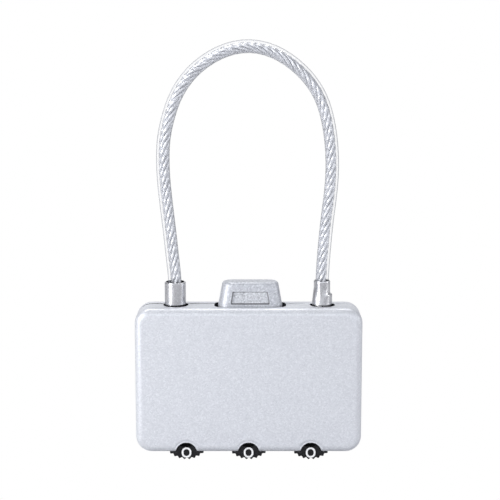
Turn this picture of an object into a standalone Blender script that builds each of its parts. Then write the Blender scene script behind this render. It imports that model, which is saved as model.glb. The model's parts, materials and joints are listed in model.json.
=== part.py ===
"""Luggage combination padlock with a cable loop, shaped like a small suitcase.

The lock stands upright: +Z is up along the cable loop, the face with the dial windows looks along -Y,
and the origin is on the ground under the middle of the case. Sizes below are in millimetres.
"""

import math

import bmesh
import bpy
import numpy as np

MM = 0.001
GAP = 0.3

# Case: two die-cast covers that meet on a plane behind the middle.
CASE_WIDTH = 56.8
CASE_DEPTH = 11.0
CASE_BOTTOM = 2.2
CASE_TOP = 39.2
CASE_CORNER = 4.0
CASE_EDGE = 1.9
FACE_WALL = 1.2
SIDE_WALL = 1.5
PARTING_Y = 1.5
PARTING_CHAMFER = 0.2
CASE_MIDDLE_Z = (CASE_BOTTOM + CASE_TOP) / 2
FRONT_Y = -CASE_DEPTH / 2
BACK_Y = CASE_DEPTH / 2
INNER_FRONT_Y = FRONT_Y + FACE_WALL
INNER_BACK_Y = BACK_Y - FACE_WALL
INNER_TOP = CASE_TOP - SIDE_WALL

# Dials, on axles that run front to back.
DIAL_PITCH = 15.7
DIAL_X = (-DIAL_PITCH, 0.0, DIAL_PITCH)
DIAL_RADIUS = 6.25
DIAL_Z = DIAL_RADIUS
DIAL_TEETH = 30
DIAL_TOOTH_DEPTH = 0.42
DIAL_FRONT_Y = INNER_FRONT_Y + GAP
DIAL_RIM_BACK_Y = -1.8
DIAL_BACK_Y = -0.8
DRUM_RADIUS = 5.2
DIGITS = 10
WINDOW_RADIUS = 2.7
WINDOW_Z = 2.13
WINDOW_FLARE = 0.7
WINDOW_RIM = 0.8
BORE_ROOT_RADIUS = 2.8
BORE_TIP_RADIUS = 2.2
COUNTERBORE_RADIUS = 2.95
COUNTERBORE_BACK_Y = -2.5

# Cams behind the dials: a splined hub that turns with its dial, and a gated disc.
CAM_RADIUS = 3.3
CAM_FRONT_Y = 1.1
CAM_BACK_Y = 2.4
GATE_WIDTH = 1.8
GATE_DEPTH = 1.8
FALSE_GATE_DEPTH = 0.5
FALSE_GATE_WIDTH = 1.0
AXLE_RADIUS = 0.8
HUB_RADIUS = 1.4
CAM_HEAD_RADIUS = 2.3
SPLINE_RADIUS = 2.5
SPLINE_ROOT_RADIUS = 1.9
SPLINE_FRONT_Y = -2.3
SPLINE_BACK_Y = -1.1

# Detent spring, held at its ends between two ledges on each side of the front cover.
DETENT_Z = 13.2
DETENT_THICKNESS = 0.45
DETENT_TIP_Z = 11.25
DETENT_END_X = 21.4
LEDGE_THICKNESS = 0.8
LEDGE_X = (19.9, 21.6)

# Reset carriage: pressing the button at the back pushes the cams out of their dials.
RESET_X = DIAL_PITCH / 2
RESET_BUTTON_RADIUS = 1.4
CARRIAGE_WIDTH = 2 * DIAL_PITCH + 6.5
CARRIAGE_HEIGHT = 4.4
CARRIAGE_NECK = 2.2
CARRIAGE_FRONT_Y = 2.7
CARRIAGE_BACK_Y = 3.3

# Handle-shaped push button with the lock slider under it.
BUTTON_X = 0.4
BUTTON_BASE_WIDTH = 16.1
BUTTON_TOP_WIDTH = 14.2
BUTTON_BASE_DEPTH = 6.2
BUTTON_TOP_DEPTH = 5.5
BUTTON_TOP = 45.3
BUTTON_CORNER = 2.6
BUTTON_ROUNDING = 0.8
PANEL_BOTTOM = 39.5
PANEL_TOP = 43.0
PANEL_BOTTOM_WIDTH = 9.8
PANEL_TOP_WIDTH = 8.8
PANEL_Y = 2.3
FLANGE_BOTTOM = 34.5
FLANGE_WIDTH = 21.0
FLANGE_DEPTH = 7.8
SLOT_WIDTH = 18.0
SLOT_DEPTH = 7.0
SLIDER_DEPTH = 2.0
SLIDER_TOP = 34.2
FINGER_WIDTH = 1.2
FINGER_BOTTOM = 9.9
BAR_BOTTOM = 22.0
TONGUE_WIDTH = 6.0
TONGUE_TOP = 37.6
PIN_Z = 36.0
PIN_RADIUS = 0.6
SPRING_X = DIAL_PITCH / 2
SPRING_Y = 1.0
SEAT_BOTTOM = 9.3
SEAT_TOP = 11.0
SEAT_WIDTH = 3.8

# Cable ends and the cable.
END_X = 18.4
PLUG_TOP = 45.1
FIXED_TOP = 45.4
SHANK_RADIUS = 2.2
STEM_RADIUS = 2.0
COLLAR_RADIUS = 2.85
COLLAR_HOLE_RADIUS = 3.15
LATCH_Z = 29.5
LATCH_WIRE = 0.8
LATCH_SLOT = 1.4
RING_Z = 29.5
RING_THICKNESS = 0.6
GUIDE_WIDTH = 7.2
PLUG_GUIDE_BOTTOM = 26.3
GROOVE_RADIUS = 1.2
RING_GROOVE_RADIUS = 1.4
PLUG_RADIUS = 2.65
MOUTH_DEPTH = 2.0
MOUTH_RADIUS = 1.95
FIXED_MOUTH_RADIUS = 1.85
CABLE_DIAMETER = 3.3
CABLE_POINT_SPACING = 2 * CABLE_DIAMETER
# The cable's own curve, from the fixed end over the top to the plug: x and z at points chosen along it.
CABLE_ROUTE = (
    (18.4, 43.8), (18.5, 47.0), (18.75, 51.5), (19.15, 56.5), (19.65, 61.5), (20.25, 66.5),
    (20.65, 71.5), (20.65, 76.5), (20.25, 81.2), (19.4, 86.0), (17.8, 90.9), (15.0, 95.4),
    (11.0, 99.3), (5.9, 102.3), (0.1, 103.5), (-5.9, 102.4), (-11.3, 99.4), (-15.4, 95.4),
    (-18.2, 90.7), (-19.9, 85.8), (-20.9, 81.0), (-21.2, 76.0), (-21.05, 71.0), (-20.6, 66.0),
    (-20.05, 61.0), (-19.5, 56.0), (-19.0, 51.0), (-18.6, 47.0), (-18.4, 43.5),
)

SCREW_PLACES = ((-24.3, 5.9), (24.3, 5.9), (-24.3, 35.5), (24.3, 35.5))
SCREW_RADIUS = 0.8
SCREW_HEAD_RADIUS = 1.5
SCREW_HEAD_Y = (4.5, 5.35)
SCREW_TIP_Y = -3.1
FRONT_BOSS_RADIUS = SCREW_HEAD_RADIUS + 0.4
REAR_BOSS_RADIUS = SCREW_HEAD_RADIUS + 0.6


def clear_scene():
    for obj in list(bpy.data.objects):
        bpy.data.objects.remove(obj, do_unlink=True)


def finish(name, colour, roughness, metallic):
    """A Principled material, made once for each name."""
    material = bpy.data.materials.get(name) or bpy.data.materials.new(name)
    material.use_nodes = True
    shader = material.node_tree.nodes["Principled BSDF"]
    shader.inputs["Base Color"].default_value = (*colour, 1)
    shader.inputs["Roughness"].default_value = roughness
    shader.inputs["Metallic"].default_value = metallic
    return material


def silver_paint():
    return finish("silver_paint", (0.68, 0.70, 0.74), 0.45, 0.3)


def bright_steel():
    return finish("bright_steel", (0.66, 0.67, 0.69), 0.25, 1.0)


def spring_steel():
    return finish("spring_steel", (0.45, 0.46, 0.48), 0.35, 1.0)


def cast_zinc():
    return finish("cast_zinc", (0.55, 0.56, 0.58), 0.5, 1.0)


def black_plastic():
    return finish("black_plastic", (0.02, 0.021, 0.022), 0.4, 0.0)


def clear_jacket():
    return finish("clear_jacket", (0.85, 0.87, 0.9), 0.2, 0.0)


# Outlines, as lists of points in a plane.


def polar(centre, radius, degrees):
    angle = math.radians(degrees)
    return (centre[0] + radius * math.cos(angle), centre[1] + radius * math.sin(angle))


def arc(centre, radius, start, end, steps):
    """Points from one angle to another, both in degrees."""
    return [polar(centre, radius, start + (end - start) * step / steps) for step in range(steps + 1)]


def circle(centre, radius, sides):
    return arc(centre, radius, 0, 360, sides)[:-1]


def rectangle(low_x, high_x, low_z, high_z):
    return [(low_x, low_z), (high_x, low_z), (high_x, high_z), (low_x, high_z)]


def rounded_rectangle(centre, width, height, radius, steps=5):
    points = []
    for quarter, (side_x, side_z) in enumerate(((1, 1), (-1, 1), (-1, -1), (1, -1))):
        corner = (
            centre[0] + side_x * (width / 2 - radius),
            centre[1] + side_z * (height / 2 - radius),
        )
        points += arc(corner, radius, 90 * quarter, 90 * quarter + 90, steps)
    return points


def toothed_circle(centre, root, tip, teeth, tip_degrees, root_degrees, first=0.0):
    """Teeth with flat tips and flat roots; zero degrees makes a tip or a root one point."""
    points = []
    for tooth in range(teeth):
        middle = first + 360 * tooth / teeth
        for radius, turn, width in ((tip, 0, tip_degrees), (root, 180 / teeth, root_degrees)):
            for side in (-0.5, 0.5) if width else (0,):
                points.append(polar(centre, radius, middle + turn + side * width))
    return points


def notched_circle(centre, radius, notches, spacing=15):
    """A disc outline with slots cut into its rim: each notch is (degrees, depth, width)."""
    points, angle = [], 0.0
    marks = sorted(notches)
    for place, depth, width in marks + [(360 + marks[0][0], *marks[0][1:])]:
        mouth = math.degrees(math.asin(width / 2 / radius))
        if place - mouth > angle and angle > 0:
            steps = max(1, round((place - mouth - angle) / spacing))
            points += arc(centre, radius, angle, place - mouth, steps)[1:-1]
        if place >= 360:
            break
        floor = math.degrees(math.asin(width / 2 / (radius - depth)))
        points.append(polar(centre, radius, place - mouth))
        points += arc(centre, radius - depth, place - floor, place + floor, 1)
        points.append(polar(centre, radius, place + mouth))
        angle = place + mouth
    return points


# Solids.


def lofted(name, rings, material=None, origin=(0, 0, 0)):
    """One closed skin through rings of points in millimetres, capped at both ends."""
    shape = bmesh.new()
    rows = []
    for ring in rings:
        rows.append([shape.verts.new([(p - o) * MM for p, o in zip(point, origin)]) for point in ring])
    shape.faces.new(rows[0])
    shape.faces.new(rows[-1])
    for low, high in zip(rows, rows[1:]):
        for index in range(len(low)):
            shape.faces.new((low[index - 1], low[index], high[index], high[index - 1]))
    bmesh.ops.recalc_face_normals(shape, faces=shape.faces)
    mesh = bpy.data.meshes.new(name)
    shape.to_mesh(mesh)
    shape.free()
    obj = bpy.data.objects.new(name, mesh)
    obj.location = [value * MM for value in origin]
    bpy.context.scene.collection.objects.link(obj)
    if material:
        mesh.materials.append(material)
        mesh.shade_smooth()
        mesh.set_sharp_from_angle(angle=math.radians(35))
    else:
        obj.hide_render = True
        obj.display_type = "WIRE"
    return obj


def prism_y(name, outline, low_y, high_y, material=None, origin=(0, 0, 0)):
    """An outline of x and z points, extruded from front to back."""
    rings = [[(x, y, z) for x, z in outline] for y in (low_y, high_y)]
    return lofted(name, rings, material, origin)


def prism_z(name, outline, low_z, high_z, material=None, origin=(0, 0, 0)):
    """An outline of x and y points, extruded upwards."""
    rings = [[(x, y, z) for x, y in outline] for z in (low_z, high_z)]
    return lofted(name, rings, material, origin)


def turned_z(name, centre, profile, sides, material=None, origin=(0, 0, 0)):
    """A round piece on an upright axis; the profile is radius and height, bottom to top."""
    rings = [[(x, y, z) for x, y in circle(centre, radius, sides)] for radius, z in profile]
    return lofted(name, rings, material, origin)


def turned_y(name, centre, profile, sides, material=None, origin=(0, 0, 0)):
    """A round piece on a front-to-back axis; the profile is radius and y, front to back."""
    rings = [[(x, y, z) for x, z in circle(centre, radius, sides)] for radius, y in profile]
    return lofted(name, rings, material, origin)


def combine(obj, operation, tools):
    for tool in tools:
        modifier = obj.modifiers.new(f"{operation.lower()} {tool.name}", "BOOLEAN")
        modifier.operation = operation
        modifier.object = tool


def wire(name, points, diameter, resolution, material):
    """A round wire or cable along points in millimetres."""
    curve = bpy.data.curves.new(name, "CURVE")
    curve.dimensions = "3D"
    curve.bevel_depth = diameter / 2 * MM
    curve.bevel_resolution = resolution
    curve.use_fill_caps = True
    spline = curve.splines.new("POLY")
    spline.points.add(len(points) - 1)
    for place, point in zip(spline.points, points):
        place.co = (*(value * MM for value in point), 1)
    curve.materials.append(material)
    obj = bpy.data.objects.new(name, curve)
    bpy.context.scene.collection.objects.link(obj)
    return obj


def coil_points(start, end, radius, turns, steps_per_turn=9):
    """Points of a helix from start to end, which differ along one axis only."""
    start, end = np.array(start, float), np.array(end, float)
    along = end - start
    side = np.array([1.0, 0.0, 0.0])
    other = np.cross(along / np.linalg.norm(along), side)
    count = turns * steps_per_turn
    points = []
    for step in range(count + 1):
        angle = 2 * math.pi * step / steps_per_turn
        round_axis = side * math.cos(angle) + other * math.sin(angle)
        points.append(tuple(start + along * step / count + radius * round_axis))
    return points


def smooth_route(route, spacing):
    """Evenly spaced points on the natural cubic spline through a route's points."""
    knots = np.array(route, float)
    count = len(knots)
    steps = np.linalg.norm(np.diff(knots, axis=0), axis=1)
    places = np.concatenate([[0.0], np.cumsum(steps)])
    system, right = np.eye(count), np.zeros_like(knots)
    for index in range(1, count - 1):
        before, after = steps[index - 1], steps[index]
        system[index, index - 1 : index + 2] = before, 2 * (before + after), after
        slopes = (knots[index + 1] - knots[index]) / after - (knots[index] - knots[index - 1]) / before
        right[index] = 6 * slopes
    bends = np.linalg.solve(system, right)

    def point_at(place):
        index = min(max(int(np.searchsorted(places, place)) - 1, 0), count - 2)
        step = steps[index]
        after = (place - places[index]) / step
        before = 1 - after
        straight = before * knots[index] + after * knots[index + 1]
        curved = (before**3 - before) * bends[index] + (after**3 - after) * bends[index + 1]
        return straight + curved * step**2 / 6

    pieces = round(places[-1] / spacing)
    return [tuple(point_at(places[-1] * piece / pieces)) for piece in range(pieces + 1)]


# Cutters that both covers share.


def cam_cutters():
    """Round reliefs in the bottom wall, where the cams turn and slide."""
    radius = CAM_RADIUS + GAP
    cutters = []
    for number, x in enumerate(DIAL_X, 1):
        profile = ((radius, DIAL_BACK_Y - 0.2), (radius, INNER_BACK_Y))
        cutters.append(turned_y(f"cut_cam_relief_{number}", (x, DIAL_Z), profile, 24))
    return cutters


def screw_cutters():
    cutters = []
    for number, place in enumerate(SCREW_PLACES, 1):
        radius, head_radius = SCREW_RADIUS + GAP, SCREW_HEAD_RADIUS + GAP
        profile = ((radius, SCREW_TIP_Y - GAP), (radius, SCREW_HEAD_Y[0] - GAP))
        cutters.append(turned_y(f"cut_screw_{number}", place, profile, 12))
        profile = ((head_radius, SCREW_HEAD_Y[0] - GAP - 0.1), (head_radius, BACK_Y + 0.5))
        cutters.append(turned_y(f"cut_screw_head_{number}", place, profile, 16))
    return cutters


def top_cutters():
    """The two cable holes with their bores below, and the slot that the button moves in."""
    slot = rounded_rectangle((BUTTON_X, 0), SLOT_WIDTH, SLOT_DEPTH, 2.4, 3)
    cutters = [prism_z("cut_button_slot", slot, INNER_TOP - 0.5, CASE_TOP + 1)]
    for side, bore in ((-1, SHANK_RADIUS + GAP), (1, STEM_RADIUS + GAP)):
        place = (side * END_X, 0)
        name = "plug" if side < 0 else "fixed"
        hole = ((COLLAR_HOLE_RADIUS, INNER_TOP), (COLLAR_HOLE_RADIUS, CASE_TOP + 1))
        cutters.append(turned_z(f"cut_{name}_hole", place, hole, 20))
        depth = ((bore, PLUG_GUIDE_BOTTOM - 1), (bore, INNER_TOP + 0.1))
        cutters.append(turned_z(f"cut_{name}_bore", place, depth, 16))
    return cutters


def guide_blocks(low_y, high_y, cover):
    """Blocks that guide the plug above and below the latch, and the fixed end above its ring."""
    blocks = []
    for name, side, low_z, high_z in (
        ("plug_upper", -1, LATCH_Z + LATCH_SLOT / 2, INNER_TOP + 0.5),
        ("plug_lower", -1, PLUG_GUIDE_BOTTOM, LATCH_Z - LATCH_SLOT / 2),
        ("fixed", 1, RING_Z + RING_THICKNESS, INNER_TOP + 0.5),
    ):
        middle = side * END_X
        outline = rectangle(middle - GUIDE_WIDTH / 2, middle + GUIDE_WIDTH / 2, low_z, high_z)
        blocks.append(prism_y(f"block_{cover}_{name}", outline, low_y, high_y))
    return blocks


def cover_skin(name, outer_y, parting_y):
    """A rounded tray: a flat face, a rounded edge, straight sides and a chamfer at the parting line."""
    inward = 1 if parting_y > outer_y else -1
    steps = 4
    levels = []
    for step in range(steps + 1):
        angle = math.radians(90 * step / steps)
        inset = CASE_EDGE * (1 - math.sin(angle))
        levels.append((inset, outer_y + inward * CASE_EDGE * (1 - math.cos(angle))))
    levels.append((0, parting_y - inward * PARTING_CHAMFER))
    levels.append((PARTING_CHAMFER, parting_y))
    height = CASE_TOP - CASE_BOTTOM
    rings = []
    for inset, y in levels:
        outline = rounded_rectangle(
            (0, CASE_MIDDLE_Z), CASE_WIDTH - 2 * inset, height - 2 * inset, CASE_CORNER - inset
        )
        rings.append([(x, y, z) for x, z in outline])
    return lofted(name, rings, silver_paint())


def cavity(name, low_y, high_y):
    height = CASE_TOP - CASE_BOTTOM
    outline = rounded_rectangle(
        (0, CASE_MIDDLE_Z), CASE_WIDTH - 2 * SIDE_WALL, height - 2 * SIDE_WALL, 2.5, 3
    )
    return prism_y(name, outline, low_y, high_y)


def window_outline(x, radius, flare):
    """A half-round notch whose sides flare into the case's bottom edge."""
    rise = CASE_BOTTOM + flare - WINDOW_Z
    reach = math.sqrt((radius + flare) ** 2 - rise**2)
    lean = math.degrees(math.atan2(rise, reach))
    below = CASE_BOTTOM - 1
    points = [(x + reach, below)]
    points += arc((x + reach, CASE_BOTTOM + flare), flare, 270, 180 + lean, 2)
    points += arc((x, WINDOW_Z), radius, lean, 180 - lean, 10)[1:-1]
    points += arc((x - reach, CASE_BOTTOM + flare), flare, -lean, -90, 2)
    points.append((x - reach, below))
    return points


def window_cutters():
    """For each dial a notch in the face, its chamfered rim, and the slot that the rim comes out of."""
    cutters = []
    for number, x in enumerate(DIAL_X, 1):
        notch = window_outline(x, WINDOW_RADIUS, WINDOW_FLARE)
        cutters.append(prism_y(f"cut_window_{number}", notch, FRONT_Y - 1, INNER_FRONT_Y + 0.5))
        rim = window_outline(x, WINDOW_RADIUS + WINDOW_RIM, WINDOW_FLARE)
        rings = [
            [(px, FRONT_Y + WINDOW_RIM * 0.75, pz) for px, pz in notch],
            [(px, FRONT_Y - 0.05, pz) for px, pz in rim],
        ]
        cutters.append(lofted(f"cut_window_rim_{number}", rings))
        slot = ((DIAL_RADIUS + 0.4, INNER_FRONT_Y), (DIAL_RADIUS + 0.4, DIAL_BACK_Y + GAP))
        cutters.append(turned_y(f"cut_dial_slot_{number}", (x, DIAL_Z), slot, 32))
        recess = ((AXLE_RADIUS + GAP, INNER_FRONT_Y - 0.5), (AXLE_RADIUS + GAP, INNER_FRONT_Y + 0.5))
        cutters.append(turned_y(f"cut_axle_recess_{number}", (x, DIAL_Z), recess, 12))
    return cutters


def front_cover(shared_cutters):
    parting = PARTING_Y - GAP / 2
    cover = cover_skin("front_cover", FRONT_Y, parting)
    combine(cover, "DIFFERENCE", [cavity("cut_front_cavity", INNER_FRONT_Y, BACK_Y)])
    wall = INNER_FRONT_Y - 0.4
    additions = guide_blocks(wall, parting, "front")
    for number, place in enumerate(SCREW_PLACES, 1):
        profile = ((FRONT_BOSS_RADIUS, wall), (FRONT_BOSS_RADIUS, parting))
        additions.append(turned_y(f"boss_front_{number}", place, profile, 14))
    lower_ledge = DETENT_Z - GAP - LEDGE_THICKNESS
    upper_ledge = DETENT_Z + DETENT_THICKNESS + GAP
    for side, name in ((-1, "left"), (1, "right")):
        ends = sorted(side * x for x in LEDGE_X)
        for level, low_z in (("lower", lower_ledge), ("upper", upper_ledge)):
            ledge = rectangle(*ends, low_z, low_z + LEDGE_THICKNESS)
            additions.append(prism_y(f"ledge_{name}_{level}", ledge, wall, DIAL_BACK_Y))
    combine(cover, "UNION", additions)
    combine(cover, "DIFFERENCE", shared_cutters + window_cutters())
    return cover


def rear_cover(shared_cutters):
    parting = PARTING_Y + GAP / 2
    cover = cover_skin("rear_cover", BACK_Y, parting)
    combine(cover, "DIFFERENCE", [cavity("cut_rear_cavity", FRONT_Y, INNER_BACK_Y)])
    wall = INNER_BACK_Y + 0.4
    additions = guide_blocks(parting, wall, "rear")
    for number, place in enumerate(SCREW_PLACES, 1):
        profile = ((REAR_BOSS_RADIUS, parting), (REAR_BOSS_RADIUS, wall))
        additions.append(turned_y(f"boss_rear_{number}", place, profile, 14))
    for side, name in ((-1, "left"), (1, "right")):
        middle = side * SPRING_X
        seat = rectangle(middle - SEAT_WIDTH / 2, middle + SEAT_WIDTH / 2, SEAT_BOTTOM, SEAT_TOP)
        additions.append(prism_y(f"spring_seat_{name}", seat, SPRING_Y - 1.5, wall))
        pin = ((0.7, SEAT_TOP - 0.5), (0.7, SEAT_TOP + 2))
        additions.append(turned_z(f"spring_pin_{name}", (middle, SPRING_Y), pin, 8))
    combine(cover, "UNION", additions)
    radius = RESET_BUTTON_RADIUS + GAP
    hole = ((radius, INNER_BACK_Y - 1), (radius, BACK_Y + 1))
    reset_hole = turned_y("cut_reset_hole", (RESET_X, DIAL_Z), hole, 16)
    combine(cover, "DIFFERENCE", [*shared_cutters, reset_hole])
    return cover


def case_screw(number):
    place = SCREW_PLACES[number - 1]
    profile = (
        (SCREW_RADIUS - 0.3, SCREW_TIP_Y),
        (SCREW_RADIUS, SCREW_TIP_Y + 0.5),
        (SCREW_RADIUS, SCREW_HEAD_Y[0]),
        (SCREW_HEAD_RADIUS, SCREW_HEAD_Y[0]),
        (SCREW_HEAD_RADIUS, SCREW_HEAD_Y[1]),
    )
    origin = (place[0], 0, place[1])
    screw = turned_y(f"case_screw_{number}", place, profile, 14, bright_steel(), origin)
    cross = toothed_circle(place, 0.25, 0.9, 4, 30, 40)
    cutter = prism_y(f"cut_cross_{number}", cross, SCREW_HEAD_Y[1] - 0.45, SCREW_HEAD_Y[1] + 0.5)
    combine(screw, "DIFFERENCE", [cutter])


def dial(number):
    """A toothed rim in front, a drum with ten click notches behind, and a splined bore."""
    x = DIAL_X[number - 1]
    centre, origin = (x, DIAL_Z), (x, 0, DIAL_Z)
    half_tooth = 180 / DIAL_TEETH
    teeth = toothed_circle(
        centre, DIAL_RADIUS - DIAL_TOOTH_DEPTH, DIAL_RADIUS, DIAL_TEETH, 0, 0, 90 + half_tooth
    )
    rim = prism_y(f"dial_{number}", teeth, DIAL_FRONT_Y, DIAL_RIM_BACK_Y, black_plastic(), origin)
    notches = toothed_circle(centre, DRUM_RADIUS - 0.5, DRUM_RADIUS, DIGITS, 22, 0, 90 + 180 / DIGITS)
    drum = prism_y(f"drum_{number}", notches, DIAL_RIM_BACK_Y - 0.5, DIAL_BACK_Y)
    combine(rim, "UNION", [drum])
    grooves = toothed_circle(centre, BORE_TIP_RADIUS, BORE_ROOT_RADIUS, DIGITS, 24, 8, 90)
    bore = prism_y(f"cut_dial_bore_{number}", grooves, COUNTERBORE_BACK_Y - 0.1, DIAL_BACK_Y + 0.5)
    profile = ((COUNTERBORE_RADIUS, DIAL_FRONT_Y - 0.5), (COUNTERBORE_RADIUS, COUNTERBORE_BACK_Y))
    counterbore = turned_y(f"cut_dial_counterbore_{number}", centre, profile, 20)
    combine(rim, "DIFFERENCE", [bore, counterbore])


def cam(number):
    """A sleeve on the axle: splines in the dial's bore, the gated disc, and a head behind the carriage."""
    x = DIAL_X[number - 1]
    centre, origin = (x, DIAL_Z), (x, 0, DIAL_Z)
    # The true gate is on top at rest. The one at 180 degrees lies between two digits, where no dial stops.
    notches = [(90, GATE_DEPTH, GATE_WIDTH), (180, GATE_DEPTH, GATE_WIDTH)]
    notches += [(degrees, FALSE_GATE_DEPTH, FALSE_GATE_WIDTH) for degrees in (18, 234, 306)]
    outline = notched_circle(centre, CAM_RADIUS, notches)
    disc = prism_y(f"cam_{number}", outline, CAM_FRONT_Y, CAM_BACK_Y, cast_zinc(), origin)
    profile = (
        (HUB_RADIUS, SPLINE_FRONT_Y + 0.2),
        (HUB_RADIUS, CARRIAGE_BACK_Y + GAP),
        (CAM_HEAD_RADIUS, CARRIAGE_BACK_Y + GAP),
        (CAM_HEAD_RADIUS, INNER_BACK_Y - GAP),
    )
    hub = turned_y(f"hub_{number}", centre, profile, 16)
    teeth = toothed_circle(centre, SPLINE_ROOT_RADIUS, SPLINE_RADIUS, DIGITS, 12, 14, 90)
    splines = prism_y(f"splines_{number}", teeth, SPLINE_FRONT_Y, SPLINE_BACK_Y)
    combine(disc, "UNION", [hub, splines])
    bore = ((AXLE_RADIUS + 0.15, SPLINE_FRONT_Y - 1), (AXLE_RADIUS + 0.15, INNER_BACK_Y))
    combine(disc, "DIFFERENCE", [turned_y(f"cut_cam_bore_{number}", centre, bore, 12)])


def dial_axle(number):
    x = DIAL_X[number - 1]
    profile = (
        (AXLE_RADIUS, INNER_FRONT_Y - 0.2),
        (AXLE_RADIUS, INNER_BACK_Y - 0.6),
        (AXLE_RADIUS - 0.2, INNER_BACK_Y - 0.4),
    )
    turned_y(f"dial_axle_{number}", (x, DIAL_Z), profile, 12, bright_steel(), (x, 0, DIAL_Z))


def detent_spring():
    """A flat spring above the dials, with a tongue in a click notch of each drum."""
    tip, base = 0.25, 2.2
    lower = [(-DETENT_END_X, DETENT_Z)]
    for x in DIAL_X:
        lower += [(x - base, DETENT_Z), (x - tip, DETENT_TIP_Z)]
        lower += [(x + tip, DETENT_TIP_Z), (x + base, DETENT_Z)]
    lower.append((DETENT_END_X, DETENT_Z))
    upper = [(x, z + DETENT_THICKNESS) for x, z in reversed(lower)]
    prism_y("detent_spring", lower + upper, DIAL_BACK_Y - 0.7, DIAL_BACK_Y - 0.1, spring_steel())


def reset_carriage():
    """A plate behind the cams that takes all three of them along."""
    outline = rounded_rectangle((0, DIAL_Z), CARRIAGE_WIDTH, CARRIAGE_HEIGHT, 2.0, 3)
    origin = (0, CARRIAGE_FRONT_Y, DIAL_Z)
    plate = prism_y(
        "reset_carriage", outline, CARRIAGE_FRONT_Y, CARRIAGE_BACK_Y, spring_steel(), origin
    )
    cutters = []
    for number, x in enumerate(DIAL_X, 1):
        front, back = CARRIAGE_FRONT_Y - 1, CARRIAGE_BACK_Y + 1
        profile = ((HUB_RADIUS + GAP, front), (HUB_RADIUS + GAP, back))
        cutters.append(turned_y(f"cut_carriage_{number}", (x, DIAL_Z), profile, 16))
        sides = (x - CARRIAGE_NECK / 2, x + CARRIAGE_NECK / 2)
        neck = rectangle(*sides, DIAL_Z + 1, DIAL_Z + CARRIAGE_HEIGHT / 2 + 0.8)
        cutters.append(prism_y(f"cut_carriage_neck_{number}", neck, front, back))
    combine(plate, "DIFFERENCE", cutters)


def reset_button():
    """A small plunger in the rear cover, just below its surface."""
    profile = (
        (RESET_BUTTON_RADIUS, CARRIAGE_BACK_Y + GAP),
        (RESET_BUTTON_RADIUS, BACK_Y - 0.35),
        (RESET_BUTTON_RADIUS - 0.2, BACK_Y - 0.2),
    )
    origin = (RESET_X, CARRIAGE_BACK_Y, DIAL_Z)
    turned_y("reset_button", (RESET_X, DIAL_Z), profile, 16, cast_zinc(), origin)


def button_ring(x, width, depth, z, corner):
    outline = rounded_rectangle((x, 0), width, depth, corner, 4)
    return [(px, py, z) for px, py in outline]


def handle_button():
    """The suitcase's handle: a tapered grip on a flange that stays under the top wall."""
    rings = [
        button_ring(0, FLANGE_WIDTH, FLANGE_DEPTH, FLANGE_BOTTOM, 1.0),
        button_ring(0, FLANGE_WIDTH, FLANGE_DEPTH, INNER_TOP - GAP, 1.0),
        button_ring(BUTTON_X, BUTTON_BASE_WIDTH, BUTTON_BASE_DEPTH, INNER_TOP - GAP, BUTTON_CORNER),
        button_ring(BUTTON_X, BUTTON_BASE_WIDTH, BUTTON_BASE_DEPTH, CASE_TOP, BUTTON_CORNER),
    ]
    steps = 3
    for step in range(steps + 1):
        angle = math.radians(90 * step / steps)
        inset = BUTTON_ROUNDING * (1 - math.cos(angle))
        z = BUTTON_TOP - BUTTON_ROUNDING * (1 - math.sin(angle))
        width = BUTTON_TOP_WIDTH - 2 * inset
        depth = BUTTON_TOP_DEPTH - 2 * inset
        rings.append(button_ring(BUTTON_X, width, depth, z, BUTTON_CORNER - inset))
    origin = (0, 0, CASE_TOP)
    button = lofted("handle_button", rings, silver_paint(), origin)
    low, high = PANEL_BOTTOM_WIDTH / 2, PANEL_TOP_WIDTH / 2
    panel = [(-low, PANEL_BOTTOM), (low, PANEL_BOTTOM), (high, PANEL_TOP), (-high, PANEL_TOP)]
    panel = [(BUTTON_X + x, z) for x, z in panel]
    front = prism_y("cut_panel_front", panel, -BUTTON_BASE_DEPTH, -PANEL_Y)
    back = prism_y("cut_panel_back", panel, PANEL_Y, BUTTON_BASE_DEPTH)
    half = TONGUE_WIDTH / 2 + GAP
    socket = rectangle(-half, half, FLANGE_BOTTOM - 0.5, TONGUE_TOP + 0.4)
    tongue = prism_y("cut_tongue", socket, -GAP, SLIDER_DEPTH + GAP)
    radius = PIN_RADIUS + GAP
    across = ((radius, -FLANGE_DEPTH), (radius, FLANGE_DEPTH))
    pin_hole = turned_y("cut_pin_hole", (0, PIN_Z), across, 12)
    combine(button, "DIFFERENCE", [front, back, tongue, pin_hole])
    return pin_hole


def lock_slider(pin_hole):
    """The plate under the button, with three fingers above the cams and a wedge for the latch."""
    bar_low, bar_high, bar_end, web_side = BAR_BOTTOM, 25.5, 17.0, 7.8
    arm_end, arm_low = -11.5, 33.0
    tongue_side = TONGUE_WIDTH / 2
    outline = [
        (-tongue_side, TONGUE_TOP), (-tongue_side, SLIDER_TOP), (arm_end, SLIDER_TOP), (arm_end, arm_low),
        (-web_side, arm_low), (-web_side, bar_high), (-bar_end, bar_high), (-bar_end, bar_low),
    ]
    for x in DIAL_X:
        low, high = x - FINGER_WIDTH / 2, x + FINGER_WIDTH / 2
        outline += [(low, bar_low), (low, FINGER_BOTTOM), (high, FINGER_BOTTOM), (high, bar_low)]
    outline += [
        (bar_end, bar_low), (bar_end, bar_high), (web_side, bar_high), (web_side, SLIDER_TOP),
        (tongue_side, SLIDER_TOP), (tongue_side, TONGUE_TOP),
    ]
    slider = prism_y("lock_slider", outline, 0, SLIDER_DEPTH, cast_zinc(), (0, 0, SLIDER_TOP))
    rings = []
    for half_depth, z in ((0.5, 28.2), (2.5, 31.6), (2.5, arm_low + 0.5)):
        sides = rectangle(arm_end + 0.1, arm_end + 2.1, -half_depth, half_depth)
        rings.append([(x, y, z) for x, y in sides])
    combine(slider, "UNION", [lofted("wedge", rings)])
    combine(slider, "DIFFERENCE", [pin_hole])


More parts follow.
